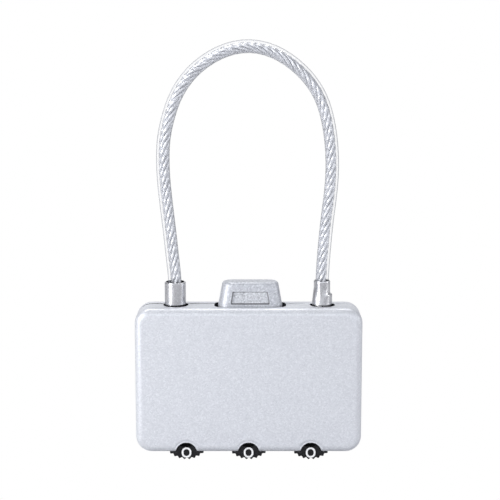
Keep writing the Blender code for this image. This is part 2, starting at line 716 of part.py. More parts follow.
def slider_pin():
    end = FLANGE_DEPTH / 2 - GAP
    profile = ((PIN_RADIUS, -end), (PIN_RADIUS, end))
    turned_y("slider_pin", (0, PIN_Z), profile, 12, bright_steel(), (0, 0, PIN_Z))


def latch_spring():
    """A hairpin of spring wire: its legs lie in the plug's groove and reach the slider's wedge."""
    leg_y = GROOVE_RADIUS + GAP + LATCH_WIRE / 2
    leg_end, leg_middle, bend_x = -8.4, -15.0, -21.4
    bend = arc((bend_x, 0), leg_y, 90, 270, 8)
    path = [(leg_end, leg_y), (leg_middle, leg_y)] + bend + [(leg_middle, -leg_y), (leg_end, -leg_y)]
    wire("latch_spring", [(x, y, LATCH_Z) for x, y in path], LATCH_WIRE, 1, spring_steel())


def return_spring(number):
    x = (-SPRING_X, SPRING_X)[number - 1]
    points = coil_points((x, SPRING_Y, SEAT_TOP + 0.6), (x, SPRING_Y, BAR_BOTTOM - 0.6), 1.25, 6)
    wire(f"return_spring_{number}", points, 0.5, 0, spring_steel())


def reset_spring(number):
    x = (-RESET_X, RESET_X)[number - 1]
    start = (x, INNER_FRONT_Y + 0.5, DIAL_Z)
    points = coil_points(start, (x, CARRIAGE_FRONT_Y - 0.5, DIAL_Z), 0.85, 4)
    wire(f"reset_spring_{number}", points, 0.35, 0, spring_steel())


def plug_ferrule():
    """The cable's free end: a turned plug with a latch groove, crimped on the cable at the top."""
    groove_low, groove_high = LATCH_Z - 0.8, LATCH_Z + 0.8
    profile = (
        (GROOVE_RADIUS - 0.1, groove_low - 1.7),
        (SHANK_RADIUS, groove_low - 0.7),
        (SHANK_RADIUS, groove_low),
        (GROOVE_RADIUS, groove_low),
        (GROOVE_RADIUS, groove_high),
        (SHANK_RADIUS, groove_high),
        (SHANK_RADIUS, INNER_TOP + GAP),
        (COLLAR_RADIUS, INNER_TOP + GAP),
        (COLLAR_RADIUS, CASE_TOP),
        (PLUG_RADIUS, CASE_TOP + 0.6),
        (PLUG_RADIUS, PLUG_TOP - 0.25),
        (PLUG_RADIUS - 0.25, PLUG_TOP),
        (MOUTH_RADIUS, PLUG_TOP),
        (MOUTH_RADIUS, PLUG_TOP - MOUTH_DEPTH),
    )
    place = (-END_X, 0)
    turned_z("plug_ferrule", place, profile, 18, bright_steel(), (*place, CASE_TOP))


def fixed_ferrule():
    """The cable's fixed end: a crimped ferrule on a stem that a ring holds in the case."""
    groove_low, groove_high = RING_Z - RING_THICKNESS, RING_Z + RING_THICKNESS
    profile = (
        (STEM_RADIUS - 0.4, groove_low - 0.9),
        (STEM_RADIUS, groove_low - 0.5),
        (STEM_RADIUS, groove_low),
        (RING_GROOVE_RADIUS, groove_low),
        (RING_GROOVE_RADIUS, groove_high),
        (STEM_RADIUS, groove_high),
        (STEM_RADIUS, INNER_TOP + GAP),
        (COLLAR_RADIUS - 0.2, INNER_TOP + GAP),
        (2.6, CASE_TOP),
        (2.55, 41.9),
        (2.1, 42.3),
        (2.1, FIXED_TOP),
        (FIXED_MOUTH_RADIUS, FIXED_TOP),
        (FIXED_MOUTH_RADIUS, FIXED_TOP - MOUTH_DEPTH),
    )
    place = (END_X, 0)
    turned_z("fixed_ferrule", place, profile, 18, bright_steel(), (*place, CASE_TOP))


def retaining_ring():
    """A C-shaped ring in the fixed stem's groove, under its guide block."""
    place = (END_X, 0)
    outline = arc(place, 3.0, 300, 600, 14) + arc(place, RING_GROOVE_RADIUS + GAP, 600, 300, 14)
    low, high = RING_Z - RING_THICKNESS / 2, RING_Z + RING_THICKNESS / 2
    prism_z("retaining_ring", outline, low, high, spring_steel(), (*place, RING_Z))


def cable():
    points = [(x, 0, z) for x, z in smooth_route(CABLE_ROUTE, CABLE_POINT_SPACING)]
    wire("cable", points, CABLE_DIAMETER, 2, clear_jacket())


def build():
    clear_scene()
    shared_cutters = screw_cutters() + top_cutters() + cam_cutters()
    front_cover(shared_cutters)
    rear_cover(shared_cutters)
    for number in range(1, len(SCREW_PLACES) + 1):
        case_screw(number)
    for number in range(1, len(DIAL_X) + 1):
        dial(number)
        cam(number)
        dial_axle(number)
    detent_spring()
    reset_carriage()
    reset_button()
    pin_hole = handle_button()
    lock_slider(pin_hole)
    slider_pin()
    latch_spring()
    for number in (1, 2):
        return_spring(number)
        reset_spring(number)
    plug_ferrule()
    fixed_ferrule()
    retaining_ring()
    cable()


build()
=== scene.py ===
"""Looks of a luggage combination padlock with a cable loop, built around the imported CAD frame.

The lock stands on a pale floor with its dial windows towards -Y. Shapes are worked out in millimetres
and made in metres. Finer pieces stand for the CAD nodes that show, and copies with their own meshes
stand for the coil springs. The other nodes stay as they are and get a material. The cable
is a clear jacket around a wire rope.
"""

import json
import math

import bmesh
import bpy
import numpy as np
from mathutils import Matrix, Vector


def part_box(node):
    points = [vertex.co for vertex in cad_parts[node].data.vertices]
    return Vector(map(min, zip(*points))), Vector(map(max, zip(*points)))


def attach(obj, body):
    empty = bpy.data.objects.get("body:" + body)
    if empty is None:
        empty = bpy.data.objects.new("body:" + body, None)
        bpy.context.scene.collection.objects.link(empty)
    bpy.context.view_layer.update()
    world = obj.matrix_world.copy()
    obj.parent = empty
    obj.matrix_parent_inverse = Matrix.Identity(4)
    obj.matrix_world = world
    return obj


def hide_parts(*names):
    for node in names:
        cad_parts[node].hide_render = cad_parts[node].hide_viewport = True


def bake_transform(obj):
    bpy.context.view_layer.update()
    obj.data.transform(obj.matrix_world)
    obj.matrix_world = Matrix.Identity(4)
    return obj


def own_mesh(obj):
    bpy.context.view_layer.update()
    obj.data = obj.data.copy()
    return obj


MM = 0.001

# Lengths are in millimetres and angles in degrees.

# Camera: it looks slightly down at the middle of the lock, from in front of the dial windows.
CAMERA_TARGET = (0.35, 0.0, 53.1)
CAMERA_DISTANCE = 347.0
CAMERA_ELEVATION = 9.3
CAMERA_LENS = 100.0

# Light around the lock: a dim room with a bright card low behind the camera.
SKY_STRENGTH = 0.36
CARD_STRENGTH = 1.46
FLOOR_RADIUS = 3000.0
LIGHT_TARGET = (0, 0, 45.0)

# Area lights: name, place, width and height, and power in watts.
LIGHTS = (
    ("key", (-310, -240, 110), (150, 300), 1.0),
    ("fill", (380, -60, 120), (110, 260), 0.22),
    ("top", (-30, 90, 425), (460, 48), 0.8),
    ("rear", (0, 420, 150), (520, 160), 0.2),
)

# The cable: its route from the fixed end over the top to the plug, as x and z.
CABLE_DIAMETER = 3.3
CABLE_ROUTE = (
    (18.4, 43.8), (18.5, 47.0), (18.75, 51.5), (19.15, 56.5), (19.65, 61.5), (20.25, 66.5),
    (20.65, 71.5), (20.65, 76.5), (20.25, 81.2), (19.4, 86.0), (17.8, 90.9), (15.0, 95.4),
    (11.0, 99.3), (5.9, 102.3), (0.1, 103.5), (-5.9, 102.4), (-11.3, 99.4), (-15.4, 95.4),
    (-18.2, 90.7), (-19.9, 85.8), (-20.9, 81.0), (-21.2, 76.0), (-21.05, 71.0), (-20.6, 66.0),
    (-20.05, 61.0), (-19.5, 56.0), (-19.0, 51.0), (-18.6, 47.0), (-18.4, 43.5),
)
JACKET_SIDES = 28
JACKET_EVERY = 5
ROPE_SPACING = 0.4
ROPE_STRANDS = 6
ROPE_LAY = 14.5
ROPE_RADIUS = 0.86
ROPE_INWARD = 0.27
STRAND_RADIUS = 0.47
CORE_SHARE = 0.95
STRAND_WIRES = 6
WIRE_LOBE = (0.74, 0.97, 0.97)
WIRE_LAY = 40.0

# A cutter runs this far past the surface that it opens.
OVERCUT = 1.0

# Covers: the same walls and edges as the CAD's, with finer rounding. The parting gap is wider at the
# left, where both halves' joint faces lean away from one another.
FACE_WALL = 1.2
SIDE_WALL = 1.5
CASE_CORNER = 4.0
CASE_EDGE = 1.9
PARTING_GAP = 0.3
PARTING_LEAN = 0.22
PARTING_OPENING = 0.18
PARTING_CHAMFER = 0.1
# How far the near-black sheet of painted shade reaches either side of the parting gap.
SHADE_SHEET_REACH = 0.7
WINDOW_RADIUS = 2.7
WINDOW_Z = 2.13
WINDOW_FLARE = 0.7
# The dished rim of a window: how far outside the window, and how deep into the face.
WINDOW_RIM = (
    (0.01, 0.23), (0.07, 0.2), (0.14, 0.2), (0.21, 0.24), (0.3, 0.25), (0.42, 0.19),
    (0.55, 0.12), (0.7, 0.06), (0.85, 0.02), (1.0, 0.0), (1.05, -0.03),
)
SLOT_WIDTH = 18.0
SLOT_DEPTH = 7.0
SLOT_CORNER = 2.4
HOLE_RADIUS = 3.15
HOLE_OFFSET = 0.13
CAM_POCKET_RADIUS = 3.5
DIAL_CLEARANCE = 0.4
DIAL_END_CLEARANCE = 0.3

# Screws and reset plunger
SCREW_HOLE_RADIUS = 1.8
SCREW_SEAT_DEPTH = 1.4
SCREW_SHANK_SHARE = 0.53
SCREW_HEAD_HEIGHT = 0.85
SCREW_HEAD_ROUNDING = 0.35
CROSS_REACH = 0.85
CROSS_HALF_WIDTH = 0.18
CROSS_DEPTH = 0.42
RESET_CLEARANCE = 0.3
RESET_SLOT_SHARE = 0.75
RESET_SLOT_HALF_WIDTH = 0.2

# Button
BUTTON_X = 0.4
BUTTON_BASE_WIDTH = 16.1
BUTTON_TOP_WIDTH = 14.2
BUTTON_BASE_DEPTH = 6.2
BUTTON_TOP_DEPTH = 5.5
BUTTON_CORNER = 2.6
BUTTON_ROUNDING = 0.92
FLANGE_CORNER = 1.0
PANEL_DEPTH = 0.6
PANEL_LOW = 0.6
PANEL_HIGH = 3.8
PANEL_LOW_HALF_WIDTH = 4.9
PANEL_HIGH_HALF_WIDTH = 4.38
PANEL_CORNER = 0.3
# How wide and how high the panel's floor is beside its opening.
PANEL_FLOOR = (0.95, 0.85)

# Dials
DIAL_SIDES = 240
TEETH = 30
TOOTH_DEPTH = 0.42
RIM_DEPTH = 2.2
DRUM_RADIUS = 5.2
NOTCH_DEPTH = 0.5
BORE_RADIUS = 2.8
COUNTERBORE_RADIUS = 2.95
COUNTERBORE_DEPTH = 1.5
DIGITS = 10
DIGIT_RING = 4.42
DIGIT_HEIGHT = 2.72
DIGIT_WIDTH = 2.45
DIGIT_STROKE = 0.47
DIGIT_RELIEF = 0.1

# Cable ends: the plug and the crimped, fixed end
UNDERCUT = 0.25
MOUTH_DEPTH = 2.0
PLUG_RADIUS = 2.65
PLUG_SHANK_RADIUS = 2.2
PLUG_GROOVE_RADIUS = 1.2
LATCH_HEIGHT = 2.5
GROOVE_HALF_WIDTH = 0.8
FIXED_STEM_RADIUS = 2.0
FIXED_GROOVE_RADIUS = 1.4
FIXED_WIDE_RADIUS = 2.58
FIXED_NARROW_RADIUS = 2.07
FIXED_STEP = (2.7, 3.15)
FIXED_TAPER = 4.5
# Dents from the crimping tool: turn, height, depth, width in degrees, and length.
DENTS = (
    (-28, 2.4, 0.05, 24, 1.8),
    (22, 4.6, 0.05, 30, 2.2),
    (55, 1.0, 0.06, 26, 1.6),
    (-70, 4.8, 0.08, 26, 1.5),
)

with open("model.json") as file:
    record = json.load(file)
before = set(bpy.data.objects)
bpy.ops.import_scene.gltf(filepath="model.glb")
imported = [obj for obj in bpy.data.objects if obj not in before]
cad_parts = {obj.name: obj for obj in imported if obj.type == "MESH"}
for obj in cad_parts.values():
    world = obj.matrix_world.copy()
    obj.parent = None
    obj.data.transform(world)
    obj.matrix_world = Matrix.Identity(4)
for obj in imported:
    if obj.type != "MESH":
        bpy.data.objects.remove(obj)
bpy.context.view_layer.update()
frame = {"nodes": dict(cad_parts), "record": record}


# Helpers: places from the frame, outlines and meshes.


def extent(node):
    """A CAD node's lowest and highest corners in millimetres."""
    low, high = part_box(node)
    return np.array(low) / MM, np.array(high) / MM


def middle_of(low, high):
    """The x and z of the middle between two corners."""
    return (low[0] + high[0]) / 2, (low[2] + high[2]) / 2


def polar(centre, radius, degrees):
    angle = math.radians(degrees)
    return (centre[0] + radius * math.cos(angle), centre[1] + radius * math.sin(angle))


def arc(centre, radius, start, end, steps):
    """Points from one angle to another, both in degrees."""
    return [polar(centre, radius, start + (end - start) * step / steps) for step in range(steps + 1)]


def circle(centre, radius, sides):
    return arc(centre, radius, 0, 360, sides)[:-1]


def rectangle(low_x, high_x, low_z, high_z):
    return [(low_x, low_z), (high_x, low_z), (high_x, high_z), (low_x, high_z)]


def rounded_rectangle(centre, width, height, radius, steps=12):
    points = []
    for quarter, (side_x, side_z) in enumerate(((1, 1), (-1, 1), (-1, -1), (1, -1))):
        corner = (
            centre[0] + side_x * (width / 2 - radius),
            centre[1] + side_z * (height / 2 - radius),
        )
        points += arc(corner, radius, 90 * quarter, 90 * quarter + 90, steps)
    return points


def new_object(name, mesh, material=None):
    obj = bpy.data.objects.new(name, mesh)
    bpy.context.scene.collection.objects.link(obj)
    if material:
        mesh.materials.append(material)
    return obj


def lofted(name, rings, material=None, ring_closes=False):
    """A closed skin through rings of points in millimetres, capped at both ends unless it closes."""
    shape = bmesh.new()
    rows = [[shape.verts.new([value * MM for value in point]) for point in ring] for ring in rings]
    pairs = list(zip(rows, rows[1:]))
    if ring_closes:
        pairs.append((rows[-1], rows[0]))
    else:
        shape.faces.new(rows[0])
        shape.faces.new(rows[-1])
    for low, high in pairs:
        for index in range(len(low)):
            shape.faces.new((low[index - 1], low[index], high[index], high[index - 1]))
    bmesh.ops.recalc_face_normals(shape, faces=shape.faces)
    mesh = bpy.data.meshes.new(name)
    shape.to_mesh(mesh)
    shape.free()
    return new_object(name, mesh, material)


def prism_y(name, outline, low_y, high_y, material=None):
    return lofted(name, [[(x, y, z) for x, z in outline] for y in (low_y, high_y)], material)


def prism_z(name, outline, low_z, high_z, material=None):
    return lofted(name, [[(x, y, z) for x, y in outline] for z in (low_z, high_z)], material)


def turned_y(name, centre, profile, sides, material=None):
    """A round piece on a front-to-back axis; the profile is radius and y."""
    rings = [[(x, y, z) for x, z in circle(centre, radius, sides)] for radius, y in profile]
    return lofted(name, rings, material)


def turned_z(name, centre, profile, sides, material=None):
    """A round piece on an upright axis; the profile is radius and height."""
    rings = [[(x, y, z) for x, y in circle(centre, radius, sides)] for radius, z in profile]
    return lofted(name, rings, material)


def smooth(obj, degrees=30):
    """Smooth shading up to an angle, with the flat faces kept flat."""
    obj.data.shade_smooth()
    obj.data.set_sharp_from_angle(angle=math.radians(degrees))
    weighted = obj.modifiers.new("weighted normals", "WEIGHTED_NORMAL")
    weighted.keep_sharp = True
    return obj


def cut(obj, cutters):
    """Takes the cutters out of an object for good, and removes them."""
    for cutter in cutters:
        modifier = obj.modifiers.new(cutter.name, "BOOLEAN")
        modifier.operation = "DIFFERENCE"
        modifier.material_mode = "TRANSFER"
        modifier.object = cutter
    bpy.context.view_layer.update()
    evaluated = obj.evaluated_get(bpy.context.evaluated_depsgraph_get())
    mesh = bpy.data.meshes.new_from_object(evaluated)
    obj.modifiers.clear()
    obj.data = mesh
    for cutter in cutters:
        bpy.data.objects.remove(cutter, do_unlink=True)
    return obj


def stand_for(obj, node, body):
    """The piece rides on a body in place of a CAD node, which is hidden."""
    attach(obj, body)
    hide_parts(node)


# Materials


class Surface:
    """A Principled material with short ways to add the nodes that vary it."""

    def __init__(self, name, colour, roughness, metallic=0.0, **sockets):
        self.material = bpy.data.materials.new(name)
        self.material.use_nodes = True
        self.tree = self.material.node_tree
        self.shader = self.tree.nodes["Principled BSDF"]
        self.shader.inputs["Base Color"].default_value = (*colour, 1)
        self.shader.inputs["Roughness"].default_value = roughness
        self.shader.inputs["Metallic"].default_value = metallic
        for socket, value in sockets.items():
            self.shader.inputs[socket.replace("_", " ")].default_value = value
        self.place = self.tree.nodes.new("ShaderNodeTexCoord").outputs["Object"]

    def stretched(self, scale):
        """The place on the piece with each axis scaled, which draws a texture out along an axis."""
        mapping = self.tree.nodes.new("ShaderNodeMapping")
        mapping.inputs["Scale"].default_value = scale
        self.tree.links.new(self.place, mapping.inputs["Vector"])
        return mapping.outputs["Vector"]

    def noise(self, size, detail=2.0, place=None):
        """Noise with features of that size in millimetres."""
        node = self.tree.nodes.new("ShaderNodeTexNoise")
        node.inputs["Scale"].default_value = 1 / (size * MM)
        node.inputs["Detail"].default_value = detail
        self.tree.links.new(place or self.place, node.inputs["Vector"])
        return node.outputs["Fac"]

    def cells(self, size):
        """Flakes of that size in millimetres, each with its own random value."""
        node = self.tree.nodes.new("ShaderNodeTexVoronoi")
        node.inputs["Scale"].default_value = 1 / (size * MM)
        self.tree.links.new(self.place, node.inputs["Vector"])
        separate = self.tree.nodes.new("ShaderNodeSeparateColor")
        self.tree.links.new(node.outputs["Color"], separate.inputs["Color"])
        return separate.outputs["Red"]

    def spread(self, value, low, high, source=(0.3, 0.7)):
        """A value stretched from its usual range to another."""
        node = self.tree.nodes.new("ShaderNodeMapRange")
        node.inputs["From Min"].default_value = source[0]
        node.inputs["From Max"].default_value = source[1]
        node.inputs["To Min"].default_value = low
        node.inputs["To Max"].default_value = high
        self.tree.links.new(value, node.inputs["Value"])
        return node.outputs["Result"]

    def blend_colours(self, factor, first, second):
        """A colour or a link for each end, mixed by a factor."""
        node = self.tree.nodes.new("ShaderNodeMix")
        node.data_type = "RGBA"
        self.tree.links.new(factor, node.inputs[0])
        for socket, colour in ((node.inputs[6], first), (node.inputs[7], second)):
            if isinstance(colour, tuple):
                socket.default_value = (*colour, 1)
            else:
                self.tree.links.new(colour, socket)
        return node.outputs[2]

    def feed(self, socket, value):
        self.tree.links.new(value, self.shader.inputs[socket])

    def mottle(self, value, dark, pale):
        """The colour goes from dark to pale with a value."""
        self.feed("Base Color", self.blend_colours(self.spread(value, 0, 1), dark, pale))

    def uneven_shine(self, size, low, high):
        """The roughness goes from low to high in patches of that size."""
        self.feed("Roughness", self.spread(self.noise(size), low, high))

    def bump(self, height, depth, strength=1.0, after=None):
        """Relief of that depth in millimetres, on top of an earlier one."""
        node = self.tree.nodes.new("ShaderNodeBump")
        node.inputs["Distance"].default_value = depth * MM
        node.inputs["Strength"].default_value = strength
        self.tree.links.new(height, node.inputs["Height"])
        if after:
            self.tree.links.new(after, node.inputs["Normal"])
        self.feed("Normal", node.outputs["Normal"])
        return node.outputs["Normal"]


def silver_paint(name, shade, contrast):
    """Satin silver paint with fine metal flakes that are darker and paler than its shade."""
    surface = Surface(name, (shade, shade, shade + 0.04), 0.42, 0.35)

    def tint(change):
        return (shade + change, shade + change + 0.015, shade + change + 0.055)

    flakes = surface.spread(surface.cells(0.32), 0.0, 1.0, (0.0, 1.0))
    speckled = surface.blend_colours(flakes, tint(-contrast), tint(contrast))
    surface.mottle(surface.noise(0.4, 3.0), tint(-0.3 * contrast), speckled)
    surface.uneven_shine(0.6, 0.36, 0.5)
    first = surface.bump(surface.noise(0.4, 3.0), 0.014)
    surface.bump(surface.cells(0.3), 0.006, 0.6, first)
    return surface.material


def cast_relief():
    """The same paint over the rough cast floor of the button's panel."""
    surface = Surface("silver_paint_rough", (0.6, 0.62, 0.66), 0.5, 0.4)
    lumps = surface.noise(0.4, 4.0)
    surface.mottle(lumps, (0.4, 0.41, 0.44), (0.86, 0.88, 0.92))
    surface.uneven_shine(0.3, 0.4, 0.6)
    first = surface.bump(lumps, 0.14)
    surface.bump(surface.cells(0.2), 0.03, 0.8, first)
    return surface.material


def metal(name, colour, roughness, grain=(1, 1, 1), relief=0.004, size=0.3, stain=0.12, share=1.0):
    """A bare metal whose fine lines are drawn out by the grain's scale; share is how metallic it is."""
    surface = Surface(name, colour, roughness, share)
    lines = surface.noise(size, 4.0, surface.stretched(grain))
    darker = tuple(value * (1 - stain) for value in colour)
    surface.mottle(surface.noise(3.0, 3.0), darker, colour)
    surface.feed("Roughness", surface.spread(lines, roughness * 0.75, roughness * 1.3))
    surface.bump(lines, relief)
    return surface.material


def painted_shade():
    """Near-black paint that stands in for shade and shows only in the gaps: it goes on the walls of holes,
    slots and gaps, the joint faces, the button's flange and the ferrules' mouths.
    """
    surface = Surface("painted_shade", (0.02, 0.02, 0.022), 0.8, 0.0, Specular_IOR_Level=0.1)
    lumps = surface.noise(0.6, 3.0)
    surface.mottle(lumps, (0.012, 0.012, 0.014), (0.03, 0.03, 0.033))
    surface.uneven_shine(0.4, 0.7, 0.9)
    surface.bump(lumps, 0.02)
    return surface.material


def dial_plastic(name, grey):
    """Matt black plastic with faint pale and dark patches."""
    surface = Surface(name, (grey, grey, grey * 1.1), 0.45, 0.0, Specular_IOR_Level=0.22)
    fine = surface.noise(0.25, 3.0)
    dark, pale = (grey * 0.7, grey * 0.7, grey * 0.8), (grey * 1.4, grey * 1.4, grey * 1.55)
    surface.mottle(fine, dark, pale)
    surface.uneven_shine(0.8, 0.34, 0.5)
    surface.bump(fine, 0.006)
    return surface.material


def digit_paint():
    """White paint with slightly uneven shine."""
    surface = Surface("digit_paint", (0.86, 0.86, 0.86), 0.45)
    surface.mottle(surface.noise(0.5, 3.0), (0.93, 0.93, 0.93), (0.99, 0.99, 0.99))
    surface.uneven_shine(0.3, 0.38, 0.55)
    surface.bump(surface.noise(0.2), 0.005)
    return surface.material


def clear_jacket():
    """Clear soft plastic: a faint pale film face on, and denser along its edges, where its colour is
    painted dark grey as painted shade along the tube's edges.
    """
    surface = Surface("clear_jacket", (0.78, 0.8, 0.88), 0.12)
    edge = surface.tree.nodes.new("ShaderNodeLayerWeight")
    edge.inputs["Blend"].default_value = 0.3
    surface.feed("Alpha", surface.spread(edge.outputs["Facing"], 0.06, 0.75, (0.25, 0.65)))
    # Painted shade: the colour goes from pale face on to dark grey along the edges.
    rim = surface.spread(edge.outputs["Facing"], 0.0, 1.0, (0.25, 0.55))
    tint = surface.blend_colours(rim, (0.8, 0.82, 0.9), (0.3, 0.31, 0.34))
    surface.feed("Base Color", tint)
    surface.uneven_shine(1.5, 0.1, 0.25)
    surface.bump(surface.noise(1.2, 2.0), 0.01)
    return surface.material


def floor_paint():
    """A pale floor that shows white to the camera and lights the lock as a light grey one."""
    surface = Surface("floor", (0.7, 0.7, 0.71), 0.8)
    surface.mottle(surface.noise(40.0), (0.69, 0.69, 0.7), (0.71, 0.71, 0.72))
    white = surface.tree.nodes.new("ShaderNodeEmission")
    seen = surface.tree.nodes.new("ShaderNodeLightPath")
    mix = surface.tree.nodes.new("ShaderNodeMixShader")
    surface.tree.links.new(seen.outputs["Is Camera Ray"], mix.inputs[0])
    surface.tree.links.new(surface.shader.outputs[0], mix.inputs[1])
    surface.tree.links.new(white.outputs[0], mix.inputs[2])
    surface.tree.links.new(mix.outputs[0], surface.tree.nodes["Material Output"].inputs["Surface"])
    return surface.material


PAINT = silver_paint("silver_paint", 0.71, 0.11)
BUTTON_PAINT = silver_paint("button_paint", 0.6, 0.2)
# The panel's recess walls are painted dark grey: painted shade along the edges of the recess.
PANEL_WALL_SHADE = metal("panel_wall_shade", (0.2, 0.2, 0.21), 0.6, relief=0.01, size=0.4, share=0.2)
ROUGH_PAINT = cast_relief()
FERRULE = metal("ferrule_steel", (0.7, 0.7, 0.72), 0.26, (1, 1, 0.25), 0.0015, 0.4)
CRIMPED = metal("crimped_steel", (0.7, 0.7, 0.72), 0.29, (1, 1, 0.4), 0.004, 0.8)
ROPE_STEEL = metal("wire_rope", (0.76, 0.77, 0.8), 0.42, relief=0.002, size=0.25, share=0.7)
PLAIN_STEEL = metal("plain_steel", (0.6, 0.61, 0.63), 0.32)
SPRING_STEEL = metal("spring_steel", (0.45, 0.46, 0.48), 0.34, relief=0.003, size=0.2)
ZINC = metal("cast_zinc", (0.55, 0.56, 0.58), 0.48, relief=0.02, size=0.35)
# Near-black painted shade for the gaps, holes, slots, joint faces, the button's flange and the ferrules'
# mouths.
SHADE_PAINT = painted_shade()
BLACK = dial_plastic("dial_plastic", 0.012)
RELIEF = dial_plastic("dial_relief", 0.018)
WHITE = digit_paint()
JACKET = clear_jacket()

NODE_FINISHES = {
    "case_paint": PAINT,
    "ferrule_steel": FERRULE,
    "plain_steel": PLAIN_STEEL,
    "spring_steel": SPRING_STEEL,
    "cast_zinc": ZINC,
    "dial_plastic": BLACK,
    "cable_jacket": JACKET,
}


def finish_cad_nodes():
    """Every CAD node gets its slot's material, the hidden inner ones too."""
    for entry in frame["record"]["subparts"]:
        node = frame["nodes"][entry["node"]]
        for slot in node.material_slots:
            slot.material = NODE_FINISHES[entry["material_slot"]]


# Camera, light and floor


def surroundings():
    """White to the camera; the lock sees a dim sky with a bright card low behind the camera."""
    world = bpy.data.worlds.new("studio")
    bpy.context.scene.world = world
    world.use_nodes = True
    tree = world.node_tree
    sky = tree.nodes["Background"]
    place = tree.nodes.new("ShaderNodeTexCoord")
    axes = tree.nodes.new("ShaderNodeSeparateXYZ")
    tree.links.new(place.outputs["Generated"], axes.inputs["Vector"])

    def ramp(value, start, end, low, high):
        """A value from low to high, a number or a link, as the input goes from start to end."""
        node = tree.nodes.new("ShaderNodeMapRange")
        node.interpolation_type = "SMOOTHSTEP"
        for socket, number in (("From Min", start), ("From Max", end), ("To Min", low)):
            node.inputs[socket].default_value = number
        if isinstance(high, (int, float)):
            node.inputs["To Max"].default_value = high
        else:
            tree.links.new(high, node.inputs["To Max"])
        tree.links.new(value, node.inputs["Value"])
        return node.outputs["Result"]

    card = ramp(axes.outputs["Z"], 0.6, 0.3, SKY_STRENGTH, CARD_STRENGTH)
    tree.links.new(ramp(axes.outputs["Y"], 0.2, -0.9, SKY_STRENGTH, card), sky.inputs["Strength"])
    sky.inputs["Color"].default_value = (0.93, 0.95, 1.0, 1)
    backdrop = tree.nodes.new("ShaderNodeBackground")
    backdrop.inputs["Color"].default_value = (1, 1, 1, 1)
    seen = tree.nodes.new("ShaderNodeLightPath")
    mix = tree.nodes.new("ShaderNodeMixShader")
    tree.links.new(seen.outputs["Is Camera Ray"], mix.inputs[0])
    tree.links.new(sky.outputs[0], mix.inputs[1])
    tree.links.new(backdrop.outputs[0], mix.inputs[2])
    tree.links.new(mix.outputs[0], tree.nodes["World Output"].inputs["Surface"])


def floor():
    shape = bmesh.new()
    bmesh.ops.create_circle(shape, cap_ends=True, segments=64, radius=FLOOR_RADIUS * MM)
    mesh = bpy.data.meshes.new("floor")
    shape.to_mesh(mesh)
    shape.free()
    new_object("floor", mesh, floor_paint())


def lights():
    aim = Vector(LIGHT_TARGET) * MM
    for name, place, size, power in LIGHTS:
        light = bpy.data.lights.new(name, "AREA")
        light.shape = "RECTANGLE"
        light.size, light.size_y = size[0] * MM, size[1] * MM
        light.energy = power
        obj = bpy.data.objects.new(name, light)
        obj.location = Vector(place) * MM
        obj.rotation_euler = (aim - obj.location).to_track_quat("-Z", "Y").to_euler()
        bpy.context.scene.collection.objects.link(obj)


def camera():
    elevation = math.radians(CAMERA_ELEVATION)
    target = Vector(CAMERA_TARGET)
    away = Vector((0, -math.cos(elevation), math.sin(elevation)))
    view = bpy.data.cameras.new("camera")
    view.lens = CAMERA_LENS
    view.clip_start = 0.01
    obj = bpy.data.objects.new("camera", view)
    obj.location = (target + away * CAMERA_DISTANCE) * MM
    obj.rotation_euler = (-away).to_track_quat("-Z", "Y").to_euler()
    bpy.context.scene.collection.objects.link(obj)
    bpy.context.scene.camera = obj
    bpy.context.scene.view_settings.view_transform = "Standard"


# The cable: a clear jacket around a rope of twisted strands.


def smooth_route(route, spacing):
    """Evenly spaced points on the natural cubic spline through a route's points."""
    knots = np.array(route, float)
    count = len(knots)
    steps = np.linalg.norm(np.diff(knots, axis=0), axis=1)
    places = np.concatenate([[0.0], np.cumsum(steps)])
    system, right = np.eye(count), np.zeros_like(knots)
    for index in range(1, count - 1):
        before, after = steps[index - 1], steps[index]
        system[index, index - 1 : index + 2] = before, 2 * (before + after), after
        slopes = (knots[index + 1] - knots[index]) / after - (knots[index] - knots[index - 1]) / before
        right[index] = 6 * slopes
    bends = np.linalg.solve(system, right)

    def point_at(place):
        index = min(max(int(np.searchsorted(places, place)) - 1, 0), count - 2)
        step = steps[index]
        after = (place - places[index]) / step
        before = 1 - after
        straight = before * knots[index] + after * knots[index + 1]
        curved = (before**3 - before) * bends[index] + (after**3 - after) * bends[index + 1]
        return straight + curved * step**2 / 6

    pieces = round(places[-1] / spacing)
    return [point_at(places[-1] * piece / pieces) for piece in range(pieces + 1)]


def along(points):
    """The distance to each point along its line, and the direction at each point."""
    steps = np.linalg.norm(np.diff(points, axis=0), axis=1)
    return np.concatenate([[0.0], np.cumsum(steps)]), unit(np.gradient(points, axis=0))


def unit(vectors):
    return vectors / np.linalg.norm(vectors, axis=1, keepdims=True)


def tube(name, points, section, material):
    """A tube along points; section gives a ring's two offsets from the line at each point."""
    rings = []
    for index, point in enumerate(points):
        rings.append([point + offset for offset in section(index)])
    return lofted(name, rings, material)


def cable():
    """The jacket, the strands inside it, and the points that the jacket follows."""
    route = np.array([(x, 0.0, z) for x, z in smooth_route(CABLE_ROUTE, ROPE_SPACING)])
    places, forward = along(route)
    across = np.tile((0.0, 1.0, 0.0), (len(route), 1))
    inward = np.cross(forward, across)
    coarse = list(range(0, len(route) - 1, JACKET_EVERY)) + [len(route) - 1]
    turns = np.radians([360 * side / JACKET_SIDES for side in range(JACKET_SIDES)])

    def jacket_section(index):
        spot = coarse[index]
        return [
            CABLE_DIAMETER / 2 * (across[spot] * math.cos(turn) + inward[spot] * math.sin(turn))
            for turn in turns
        ]

    jacket = tube("cable_jacket", route[coarse], jacket_section, JACKET)
    smooth(jacket, 60)

    middle = route + inward * ROPE_INWARD
    strands = [strand(0, middle, places, across, inward, 0.0)]
    for number in range(1, ROPE_STRANDS + 1):
        strands.append(strand(number, middle, places, across, inward, ROPE_RADIUS))
    return jacket, strands, route[coarse]


